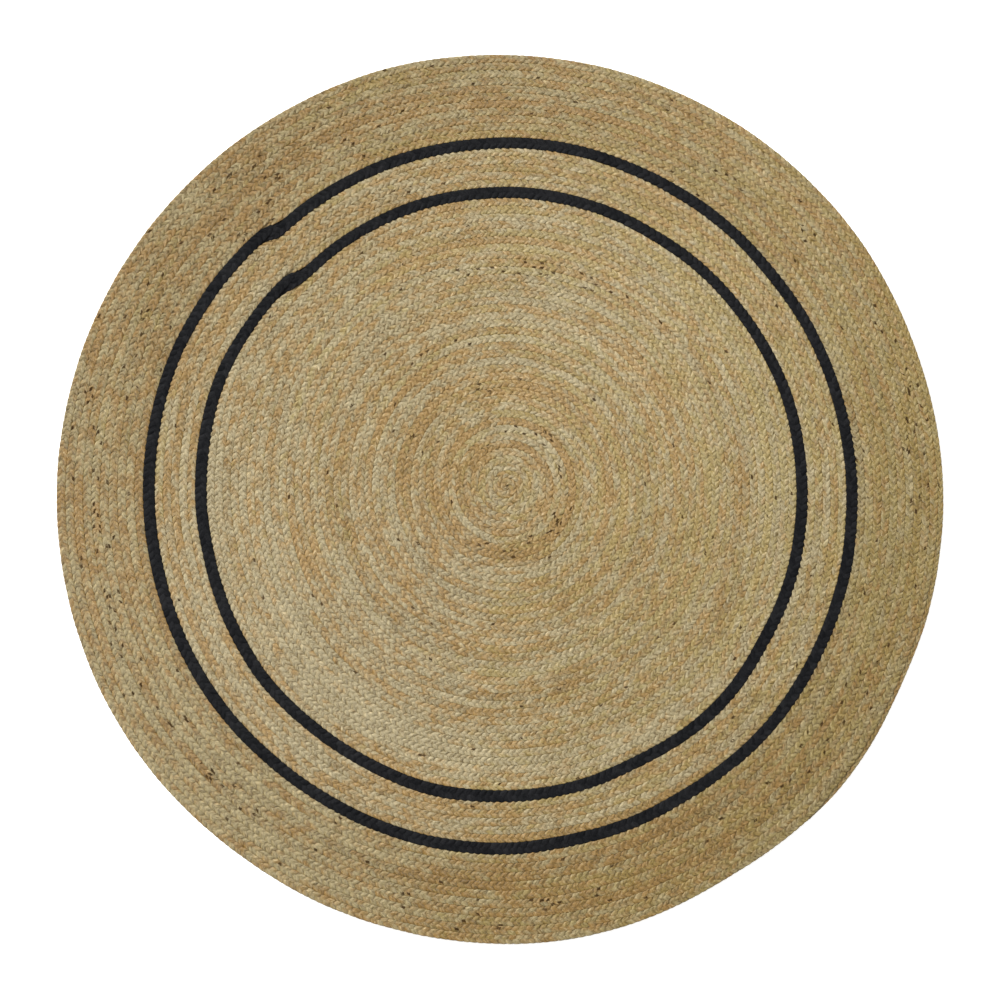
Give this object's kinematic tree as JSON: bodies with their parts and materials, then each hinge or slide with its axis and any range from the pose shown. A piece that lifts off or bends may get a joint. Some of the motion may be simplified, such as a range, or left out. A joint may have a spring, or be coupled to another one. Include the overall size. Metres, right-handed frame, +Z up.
{
  "type": "round jute rug",
  "caption": "Round flat rug of natural jute braid, coiled from the middle and sewn edge to edge, with plain black turns near its rim.",
  "frame": {"origin": "middle of the rug's underside, on the floor that it lies on", "axes": "+Z up through the rug's thickness; +X to the right and +Y to the top of the rug as seen from above; the braid's splices lie 134 degrees counter-clockwise from +X"},
  "size_m": [1.1998, 1.1998, 0.0086],
  "materials": {
    "natural_jute": "matt, unbleached golden-brown jute braid",
    "black_jute": "matt, jute braid dyed blue-black"
  },
  "bodies": {
    "root": {"centre_field": "natural_jute", "inner_black_ring": "black_jute", "middle_band": "natural_jute", "outer_black_ring": "black_jute", "outer_border": "natural_jute"}
  },
  "joints": []
}
